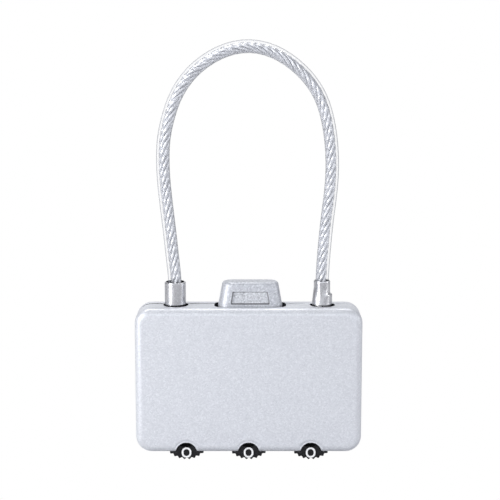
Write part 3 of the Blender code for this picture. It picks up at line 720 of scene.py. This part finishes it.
def strand(number, middle, places, across, inward, radius):
    """One strand of the rope, or its core where the radius is zero, with its wires as twisted lobes."""
    turn = 2 * math.pi * (places / ROPE_LAY + number / ROPE_STRANDS)
    out = across * np.cos(turn)[:, None] + inward * np.sin(turn)[:, None]
    line = middle + radius * out
    distance, forward = along(line)
    side = unit(np.cross(forward, out))
    top = np.cross(side, forward)
    thickness = STRAND_RADIUS if radius else STRAND_RADIUS * CORE_SHARE
    lobes = WIRE_LOBE * STRAND_WIRES

    def section(index):
        twist = 2 * math.pi * distance[index] / WIRE_LAY
        ring = []
        for place, lobe in enumerate(lobes):
            angle = twist + 2 * math.pi * place / len(lobes)
            offset = top[index] * math.cos(angle) + side[index] * math.sin(angle)
            ring.append(thickness * lobe * offset)
        return ring

    name = f"rope_strand_{number}" if radius else "rope_core"
    obj = tube(name, line, section, ROPE_STEEL)
    obj.data.shade_smooth()
    return obj


# Covers


def window_outline(x, bottom, radius, flare, steps=24):
    """A half-round notch whose sides flare into the case's bottom edge."""
    rise = bottom + flare - WINDOW_Z
    reach = math.sqrt((radius + flare) ** 2 - rise**2)
    lean = math.degrees(math.atan2(rise, reach))
    points = [(x + reach, bottom - OVERCUT)]
    points += arc((x + reach, bottom + flare), flare, 270, 180 + lean, 6)
    points += arc((x, WINDOW_Z), radius, lean, 180 - lean, steps)[1:-1]
    points += arc((x - reach, bottom + flare), flare, -lean, -90, 6)
    points.append((x - reach, bottom - OVERCUT))
    return points


def cover_skin(name, low, high, outer_y, parting_y):
    """A rounded block with a soft edge all round its face, a fine chamfer, and joint faces painted
    near-black as painted shade in the parting gap.
    """
    inward = 1 if parting_y > outer_y else -1
    steps = 10
    levels = []
    for step in range(steps + 1):
        angle = math.radians(90 * step / steps)
        y = outer_y + inward * CASE_EDGE * (1 - math.cos(angle))
        levels.append((CASE_EDGE * (1 - math.sin(angle)), y))
    levels.append((0, parting_y - inward * PARTING_CHAMFER))
    levels.append((PARTING_CHAMFER, parting_y))
    middle = middle_of(low, high)
    width, height = high[0] - low[0], high[2] - low[2]
    rings = []
    for inset, y in levels:
        sides = (width - 2 * inset, height - 2 * inset)
        at_parting = abs(y - parting_y) < 2 * PARTING_CHAMFER
        ring = []
        for x, z in rounded_rectangle(middle, *sides, CASE_CORNER - inset, 14):
            closer = PARTING_LEAN * 2 * x / width - PARTING_OPENING if at_parting else 0
            ring.append((x, y + inward * closer, z))
        rings.append(ring)
    cover = lofted(name, rings, PAINT)
    # The joint faces get the near-black paint: painted shade inside the parting gap.
    cover.data.materials.append(SHADE_PAINT)
    for face in cover.data.polygons:
        if abs(face.normal.y) > 0.9 and abs(face.center.y / MM - parting_y) < 0.5:
            face.material_index = 1
    return cover


def shared_cutters(low, high, back_y):
    """The hollow inside, the cams' pockets, the holes for the cable's ends and the button's slot. They
    carry the near-black paint onto the walls they cut, as painted shade in the openings.
    """
    width, height = high[0] - low[0] - 2 * SIDE_WALL, high[2] - low[2] - 2 * SIDE_WALL
    hollow = rounded_rectangle(middle_of(low, high), width, height, CASE_CORNER - SIDE_WALL, 8)
    cutters = [prism_y("cut_hollow", hollow, low[1] + FACE_WALL, back_y - FACE_WALL, SHADE_PAINT)]
    through = (high[2] - SIDE_WALL - 0.5, high[2] + OVERCUT)
    slot = rounded_rectangle((BUTTON_X, 0), SLOT_WIDTH, SLOT_DEPTH, SLOT_CORNER, 10)
    cutters.append(prism_z("cut_slot", slot, *through, SHADE_PAINT))
    for node in ("plug_ferrule", "fixed_ferrule"):
        place = (middle_of(*extent(node))[0] + HOLE_OFFSET, -HOLE_OFFSET)
        hole = [(HOLE_RADIUS, z) for z in through]
        cutters.append(turned_z(f"cut_{node}", place, hole, 48, SHADE_PAINT))
    for number, (middle, _, _, back) in enumerate(dial_places(), 1):
        pocket = ((CAM_POCKET_RADIUS, back), (CAM_POCKET_RADIUS, back_y - FACE_WALL - 0.1))
        cutters.append(turned_y(f"cut_cam_{number}", middle, pocket, 48, SHADE_PAINT))
    return cutters


def dial_places():
    """Each dial's centre as x and z, its radius, and its front and back y."""
    places = []
    for number in (1, 2, 3):
        low, high = extent(f"dial_{number}")
        places.append((middle_of(low, high), (high[0] - low[0]) / 2, low[1], high[1]))
    return places


def front_cover():
    low, high = extent("front_cover")
    cover = cover_skin("cover_front", low, high, low[1], high[1])
    cutters = shared_cutters(low, high, extent("rear_cover")[1][1])
    for number, (middle, radius, front, back) in enumerate(dial_places(), 1):
        notch = window_outline(middle[0], low[2], WINDOW_RADIUS, WINDOW_FLARE)
        through = (low[1] - OVERCUT, low[1] + FACE_WALL + 0.5)
        cutters.append(prism_y(f"cut_window_{number}", notch, *through))
        rings = []
        for grow, depth in WINDOW_RIM:
            outline = window_outline(middle[0], low[2], WINDOW_RADIUS + grow, WINDOW_FLARE)
            rings.append([(x, low[1] + depth, z) for x, z in outline])
        cutters.append(lofted(f"cut_rim_{number}", rings))
        clear = radius + DIAL_CLEARANCE
        slot = ((clear, front - DIAL_END_CLEARANCE), (clear, back + DIAL_END_CLEARANCE))
        # The dial slots' walls take the near-black paint as painted shade.
        cutters.append(turned_y(f"cut_dial_slot_{number}", middle, slot, 96, SHADE_PAINT))
    cut(cover, cutters)
    stand_for(smooth(cover), "front_cover", "case")


def rear_cover():
    front_low, front_high = extent("front_cover")
    low, high = extent("rear_cover")
    cover = cover_skin("cover_rear", low, high, high[1], front_high[1] + PARTING_GAP)
    back = high[1]
    cutters = shared_cutters(front_low, front_high, back)

    def flared_hole(radius, depth, flare_depth, flare):
        """A hole into the back face whose mouth flares a little."""
        inside = [(radius, back - depth), (radius, back - flare_depth)]
        return inside + [(radius + flare, back + 0.05), (radius + flare, back + OVERCUT)]

    screw_hole = flared_hole(SCREW_HOLE_RADIUS, SCREW_SEAT_DEPTH, 0.25, 0.3)
    for number in range(1, 5):
        middle = middle_of(*extent(f"case_screw_{number}"))
        cutters.append(turned_y(f"cut_screw_{number}", middle, screw_hole, 40))
    button_low, button_high = extent("reset_button")
    radius = (button_high[0] - button_low[0]) / 2 + RESET_CLEARANCE
    reset_hole = flared_hole(radius, FACE_WALL + OVERCUT, 0.2, 0.25)
    cutters.append(turned_y("cut_reset", middle_of(button_low, button_high), reset_hole, 40))
    cut(cover, cutters)
    stand_for(smooth(cover), "rear_cover", "case")


def gap_shade_sheet():
    """A near-black sheet that closes the parting gap from inside, painted shade that keeps light from
    shining through the gap.
    """
    low, high = extent("front_cover")
    front, back = high[1] - SHADE_SHEET_REACH, high[1] + PARTING_GAP + SHADE_SHEET_REACH
    outer, inner = SIDE_WALL / 2, SIDE_WALL - 0.1
    rings = []
    for inset, y in ((outer, front), (outer, back), (inner, back), (inner, front)):
        width, height = high[0] - low[0] - 2 * inset, high[2] - low[2] - 2 * inset
        outline = rounded_rectangle(middle_of(low, high), width, height, CASE_CORNER - inset, 14)
        rings.append([(x, y, z) for x, z in outline])
    dark_sheet = lofted("gap_shade_sheet", rings, SHADE_PAINT, True)
    hollow, *openings = shared_cutters(low, high, extent("rear_cover")[1][1])
    bpy.data.objects.remove(hollow, do_unlink=True)
    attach(smooth(cut(dark_sheet, openings)), "case")


# Springs, screws and reset button


def coil_springs():
    """Copies of the coil springs, each with its own mesh, riding on the case in place of the CAD nodes."""
    pressed = (("return_spring", "button_press", (0, 0, 1)), ("reset_spring", "reset_press", (0, 1, 0)))
    for kind, joint, axis in pressed:
        for number in (1, 2):
            node = f"{kind}_{number}"
            coil = new_object(f"{node}_coil", frame["nodes"][node].data.copy())
            stand_for(coil, node, "case")
            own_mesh(coil)


def screws():
    """Cross-head screws, each turned a little further than the last."""
    for number in range(1, 5):
        low, high = extent(f"case_screw_{number}")
        middle = middle_of(low, high)
        head = (high[0] - low[0]) / 2
        shank = head * SCREW_SHANK_SHARE
        back = high[1]
        under = back - SCREW_HEAD_HEIGHT
        shoulder = back - SCREW_HEAD_ROUNDING
        profile = [(shank * 0.6, low[1]), (shank, low[1] + 0.6), (shank, under)]
        profile += [(head, under), (head, shoulder)]
        for step in range(1, 6):
            angle = math.radians(90 * step / 6)
            radius = head - 0.3 * (1 - math.cos(angle)) - 0.2 * math.sin(angle)
            profile.append((radius, shoulder + SCREW_HEAD_ROUNDING * math.sin(angle)))
        screw = turned_y(f"screw_{number}", middle, profile, 40, PLAIN_STEEL)
        arms = []
        for turn in (0, 90):
            angle = math.radians(turn + 20 * number)
            bar = []
            for x, z in rectangle(-CROSS_REACH, CROSS_REACH, -CROSS_HALF_WIDTH, CROSS_HALF_WIDTH):
                bar.append((
                    middle[0] + x * math.cos(angle) - z * math.sin(angle),
                    middle[1] + x * math.sin(angle) + z * math.cos(angle),
                ))
            arms.append(prism_y(f"cut_cross_{turn}", bar, back - CROSS_DEPTH, back + OVERCUT))
        cut(screw, arms)
        stand_for(smooth(screw), f"case_screw_{number}", "case")


def reset_button():
    """A round plunger with a soft edge and a slot across its end."""
    low, high = extent("reset_button")
    x, z = middle_of(low, high)
    back = high[1]
    radius = (high[0] - low[0]) / 2
    profile = [(radius, low[1]), (radius, back - 0.2), (radius - 0.06, back - 0.06), (radius - 0.2, back)]
    button = turned_y("reset_plunger", (x, z), profile, 40, ZINC)
    reach, half = radius * RESET_SLOT_SHARE, RESET_SLOT_HALF_WIDTH
    slot = rectangle(x - reach, x + reach, z - half, z + half)
    cut(button, [prism_y("cut_reset_slot", slot, back - 0.5, back + OVERCUT)])
    stand_for(smooth(button), "reset_button", "reset")


# Handle button


def handle_button(case_top):
    """The tapered button over its flange, with a sunk panel in its front and its back."""
    low, high = extent("handle_button")
    top = high[2]
    under = case_top - SIDE_WALL - 0.3
    flange = (high[0] - low[0], high[1] - low[1])

    def ring(width, depth, z, corner, x=BUTTON_X):
        return [(px, py, z) for px, py in rounded_rectangle((x, 0), width, depth, corner, 10)]

    rings = [ring(*flange, z, FLANGE_CORNER, 0) for z in (low[2], under)]
    rings.append(ring(BUTTON_BASE_WIDTH, BUTTON_BASE_DEPTH, under, BUTTON_CORNER))
    rings.append(ring(BUTTON_BASE_WIDTH, BUTTON_BASE_DEPTH, case_top, BUTTON_CORNER))
    steps = 9
    for step in range(steps + 1):
        angle = math.radians(90 * step / steps)
        inset = BUTTON_ROUNDING * (1 - math.cos(angle))
        z = top - BUTTON_ROUNDING * (1 - math.sin(angle))
        corner = BUTTON_CORNER - inset
        rings.append(ring(BUTTON_TOP_WIDTH - 2 * inset, BUTTON_TOP_DEPTH - 2 * inset, z, corner))
    button = lofted("button", rings, BUTTON_PAINT)
    # The flange below the case's top is painted near-black: painted shade under the case's top wall.
    button.data.materials.append(SHADE_PAINT)
    darken_below(button, under + 0.2)

    def face_y(z):
        """The front face's y at a height: it leans back from the case to the start of the rounding."""
        share = (z - case_top) / (top - BUTTON_ROUNDING - case_top)
        return -(BUTTON_BASE_DEPTH + (BUTTON_TOP_DEPTH - BUTTON_BASE_DEPTH) * share) / 2

    foot, head = case_top + PANEL_LOW, case_top + PANEL_HIGH
    low_half, high_half = PANEL_LOW_HALF_WIDTH, PANEL_HIGH_HALF_WIDTH
    corners = [(-low_half, foot), (low_half, foot), (high_half, head), (-high_half, head)]
    panel = rounded_outline(corners, PANEL_CORNER)
    centre = (foot + head) / 2
    # The wall cutter puts the dark grey painted shade on the panel's walls; the floor cutter puts the rough
    # paint on its floor.
    kinds = (
        ("wall", PANEL_DEPTH - 0.03, (1, 1), PANEL_WALL_SHADE),
        ("floor", PANEL_DEPTH, PANEL_FLOOR, ROUGH_PAINT),
    )
    cutters = []
    for side in (1, -1):
        for kind, depth, mouth, finish in kinds:
            rings = []
            for (wide, tall), out in ((PANEL_FLOOR, depth), (mouth, 0), (mouth, -2 * OVERCUT)):
                rings.append([
                    (BUTTON_X + x * wide, side * (face_y(z) + out), centre + (z - centre) * tall)
                    for x, z in panel
                ])
            cutters.append(lofted(f"cut_panel_{kind}_{side}", rings, finish))
    cut(button, cutters)
    stand_for(smooth(button), "handle_button", "push_button")


def darken_below(obj, height):
    """Faces below a height get the object's second material, the near-black painted shade."""
    for face in obj.data.polygons:
        if face.center.z < height * MM:
            face.material_index = 1


def rounded_outline(corners, radius, steps=5):
    """An outline whose corners are rounded by a radius."""
    points = []
    count = len(corners)
    for index in range(count):
        here = np.array(corners[index], float)
        before = unit(np.array([corners[index - 1] - here]))[0]
        after = unit(np.array([corners[(index + 1) % count] - here]))[0]
        half = math.acos(float(np.clip(before @ after, -1, 1))) / 2
        start, end = here + before * radius / math.tan(half), here + after * radius / math.tan(half)
        for step in range(steps + 1):
            share = step / steps
            point = (1 - share) ** 2 * start + 2 * share * (1 - share) * here + share**2 * end
            points.append(tuple(point))
    return points


# Dials with their digits


def dial(number):
    """A dial: a toothed rim in front, a drum with a notch for every digit behind it, and a stepped bore."""
    (x, z), radius, front, back = dial_places()[number - 1]
    root = radius - TOOTH_DEPTH
    rim_back = front + RIM_DEPTH

    def peak(side, count, steepness):
        """From one in the middle of each of count equal parts of the turn down to zero beside it."""
        phase = (side * count / DIAL_SIDES) % 1
        return max(0.0, 1 - abs(phase - 0.5) * steepness)

    def toothed(inset):
        rises = [min(1.0, peak(side, TEETH, 2.4) * 1.15) for side in range(DIAL_SIDES)]
        return [root + (radius - root) * rise - inset for rise in rises]

    def plain(radius):
        return [radius] * DIAL_SIDES

    drum = [DRUM_RADIUS - NOTCH_DEPTH * peak(side, DIGITS, 5) for side in range(DIAL_SIDES)]
    bore, counterbore = plain(BORE_RADIUS), plain(COUNTERBORE_RADIUS)
    inner = front + COUNTERBORE_DEPTH
    levels = [
        (counterbore, inner), (counterbore, front + 0.08), (plain(COUNTERBORE_RADIUS + 0.08), front),
        (plain(root - 0.25), front), (toothed(0.16), front + 0.02), (toothed(0.03), front + 0.12),
        (toothed(0), front + 0.25), (toothed(0), rim_back - 0.2), (toothed(0.12), rim_back),
        (drum, rim_back), (drum, back), (bore, back), (bore, inner),
    ]
    rings = []
    for radii, y in levels:
        ring = []
        for side in range(DIAL_SIDES):
            px, pz = polar((x, z), radii[side], -90 + 360 * (side + 0.5) / DIAL_SIDES)
            ring.append((px, y, pz))
        rings.append(ring)
    wheel = lofted(f"dial_wheel_{number}", rings, BLACK, True)
    stand_for(smooth(wheel, 28), f"dial_{number}", f"dial_{number}")

    drawn = (("zero", 0, 1, WHITE, "digit_paint"), ("digits", 1, DIGITS, RELIEF, "dial_plastic"))
    for kind, first, last, finish, slot in drawn:
        digits = digits_mesh(f"dial_{kind}_{number}", (x, z), front, range(first, last), finish)
        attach(digits, f"dial_{number}")


def digit_strokes():
    """The centre lines of the ten digits, each with whether it closes."""
    half_width = (DIGIT_WIDTH - DIGIT_STROKE) / 2
    half_height = (DIGIT_HEIGHT - DIGIT_STROKE) / 2
    side = half_width * 0.8
    low, high = -half_height, half_height
    zero = rounded_rectangle((0, 0), 2 * half_width, 2 * half_height, half_width * 0.96, 8)
    six_loop = circle((0, low + side), side, 24)
    six_tail = [(side * 0.8, high * 0.92), (side * 0.1, high)]
    six_tail += [(-side * 0.75, high * 0.45), (-side, low + side)]
    eight_high = circle((0, high - side * 0.82), side * 0.82, 20)
    eight_low = circle((0, low + side), side * 0.98, 20)
    nine_loop = [(-x, -z) for x, z in six_loop]
    nine_tail = [(-x, -z) for x, z in six_tail]
    return (
        [(zero, True)],
        [([(-side * 0.6, high * 0.6), (side * 0.15, high), (side * 0.15, low)], False)],
        [(arc((0, high - side), side, 165, -35, 12) + [(-side, low), (side * 1.05, low)], False)],
        [
            (arc((0, high - side * 0.85), side * 0.85, 150, -85, 12), False),
            (arc((0, low + side * 0.95), side * 0.95, 85, -150, 12), False),
        ],
        [([(side * 0.4, low), (side * 0.4, high), (-side, low * 0.35), (side, low * 0.35)], False)],
        [
            ([(side * 0.9, high), (-side * 0.75, high), (-side * 0.85, 0.1)], False),
            (arc((-side * 0.05, low + side), side, 138, -145, 14), False),
        ],
        [(six_loop, True), (six_tail, False)],
        [([(-side, high), (side, high), (-side * 0.2, low)], False)],
        [(eight_high, True), (eight_low, True)],
        [(nine_loop, True), (nine_tail, False)],
    )


def digits_mesh(name, centre, front, digits, material):
    """Slightly raised digits on the dial's face, each upright when its place is at the bottom."""
    curve = bpy.data.curves.new(name, "CURVE")
    curve.dimensions = "3D"
    curve.bevel_depth = DIGIT_STROKE / 2 * MM
    curve.bevel_resolution = 4
    curve.use_fill_caps = True
    strokes = digit_strokes()
    for digit in digits:
        turn = math.radians(360 * digit / DIGITS)
        for points, closes in strokes[digit]:
            spline = curve.splines.new("POLY")
            spline.points.add(len(points) - 1)
            spline.use_cyclic_u = closes
            for place, (px, pz) in zip(spline.points, points):
                pz -= DIGIT_RING
                x = px * math.cos(turn) - pz * math.sin(turn)
                z = px * math.sin(turn) + pz * math.cos(turn)
                place.co = ((centre[0] + x) * MM, 0, (centre[1] + z) * MM, 1)
    drawn = new_object(f"{name}_curve", curve)
    bpy.context.view_layer.update()
    evaluated = drawn.evaluated_get(bpy.context.evaluated_depsgraph_get())
    mesh = bpy.data.meshes.new_from_object(evaluated)
    bpy.data.objects.remove(drawn, do_unlink=True)
    mesh.name = name
    for vertex in mesh.vertices:
        vertex.co.y = front * MM + vertex.co.y * DIGIT_RELIEF
    mesh.materials.clear()
    mesh.shade_smooth()
    return new_object(name, mesh, material)


# Cable ends


def plug_ferrule(case_top):
    """The removable end: a turned pin with a latch groove, and an undercut where it leaves the case."""
    low, high = extent("plug_ferrule")
    place = (middle_of(low, high)[0], 0)
    tip, top, radius = low[2], high[2], PLUG_RADIUS
    shank, groove = PLUG_SHANK_RADIUS, PLUG_GROOVE_RADIUS
    groove_low = tip + LATCH_HEIGHT - GROOVE_HALF_WIDTH
    groove_high = tip + LATCH_HEIGHT + GROOVE_HALF_WIDTH
    under = case_top - SIDE_WALL + 0.3
    neck = radius - UNDERCUT
    profile = [
        (groove - 0.1, tip), (shank - 0.1, tip + 0.9), (shank, tip + 1.1),
        (shank, groove_low - 0.05), (shank - 0.08, groove_low), (groove, groove_low),
        (groove, groove_high), (shank - 0.08, groove_high), (shank, groove_high + 0.05),
        (shank, under), (neck - 0.1, under), (neck, under + 0.1), (neck, case_top - 0.1),
    ]
    for step in range(1, 7):
        angle = math.radians(90 * step / 6)
        rise = 0.5 * (1 - math.cos(angle))
        profile.append((radius - UNDERCUT * (1 - math.sin(angle)), case_top - 0.1 + rise))
    for step in range(7):
        angle = math.radians(90 * step / 6)
        profile.append((radius - 0.22 * (1 - math.cos(angle)), top - 0.3 + 0.3 * math.sin(angle)))
    profile += [(2.3, top), (2.12, top - 0.12), (2.05, top - MOUTH_DEPTH)]
    plug = turned_z("plug_end", place, profile, 64, FERRULE)
    darken_mouth(plug, top)
    stand_for(smooth(plug, 35), "plug_ferrule", "plug")
    return plug


def darken_mouth(ferrule, top):
    """The inside of a ferrule's mouth and the mouth's bottom get the near-black material, painted shade in
    the recess.
    """
    ferrule.data.materials.append(SHADE_PAINT)
    middle = sum((vertex.co for vertex in ferrule.data.vertices), Vector()) / len(ferrule.data.vertices)
    for face in ferrule.data.polygons:
        out = Vector((face.center.x - middle.x, face.center.y - middle.y))
        inner = out.dot(face.normal.xy) < 0 and face.normal.z < 0.9
        bottom = face.center.z < (top - MOUTH_DEPTH + 0.1) * MM and out.length < 1.5 * MM
        if face.center.z > (top - MOUTH_DEPTH - 0.1) * MM and (inner or bottom):
            face.material_index = 1


def fixed_ferrule(case_top):
    """The crimped end: a turned tube that a pressing tool has squeezed and dented above its step."""
    low, high = extent("fixed_ferrule")
    middle = (middle_of(low, high)[0], 0)
    foot, top = low[2], high[2]
    under = case_top - SIDE_WALL + 0.3
    groove_low, groove_high = foot + 0.9, foot + 2.1
    stem, groove, wide = FIXED_STEM_RADIUS, FIXED_GROOVE_RADIUS, FIXED_WIDE_RADIUS
    profile = [(stem - 0.4, foot), (stem, foot + 0.4), (stem, groove_low), (groove, groove_low)]
    profile += [(groove, groove_high), (stem, groove_high), (stem, under), (wide, under)]
    count = 44
    profile += [(wide, under + (top - under) * step / count) for step in range(count + 1)]
    sides = 72
    rings = []
    for base, z in profile:
        ring = []
        for side in range(sides):
            degrees = -90 + 360 * side / sides
            radius = crimped_radius(degrees, z - case_top) if base == wide else base
            if z > top - 0.1:
                radius -= 0.06
            if base == wide and z < case_top + 0.3:
                radius -= UNDERCUT * 0.7
            x, y = polar(middle, radius, degrees)
            ring.append((x, y, z))
        rings.append(ring)
    for radius, z in ((1.82, top), (1.74, top - 0.1), (1.72, top - MOUTH_DEPTH)):
        rings.append([(*polar(middle, radius, -90 + 360 * side / sides), z) for side in range(sides)])
    ferrule = lofted("fixed_end", rings, CRIMPED)
    darken_mouth(ferrule, top)
    stand_for(smooth(ferrule, 40), "fixed_ferrule", "case")
    return ferrule


def share_of(value, start, end):
    """How far a value is from start to end, from zero to one."""
    return min(max((value - start) / (end - start), 0.0), 1.0)


def eased(share):
    return share * share * (3 - 2 * share)


def crimped_radius(degrees, height):
    """The squeezed ferrule's radius: it steps in on the right, tapers on the left, and has dents."""
    rise = eased(share_of(height, *FIXED_STEP))
    taper = share_of(height, 0, FIXED_TAPER)
    right = eased(share_of(math.cos(math.radians(degrees)), 0.1, 0.8))
    wide = FIXED_WIDE_RADIUS
    slim = FIXED_NARROW_RADIUS + 0.28 * math.sin(math.radians(degrees)) ** 2
    radius = wide + (slim - wide) * (right * rise + (1 - right) * taper)
    radius += 0.018 * math.sin(math.radians(5 * degrees) + 0.9 * height) - 0.01
    for turn, place, depth, width, length in DENTS:
        apart = (degrees + 90 - turn + 180) % 360 - 180
        radius -= depth * math.exp(-((apart / width) ** 2) - ((height - place) / length) ** 2)
    return radius


# The whole lock


finish_cad_nodes()
surroundings()
floor()
lights()
camera()
case_top_z = extent("front_cover")[1][2]
front_cover()
rear_cover()
gap_shade_sheet()
coil_springs()
screws()
reset_button()
handle_button(case_top_z)
for dial_number in (1, 2, 3):
    dial(dial_number)
plug = plug_ferrule(case_top_z)
fixed = fixed_ferrule(case_top_z)
jacket, strands, path = cable()
for piece in (jacket, *strands):
    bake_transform(piece)
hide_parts("cable")
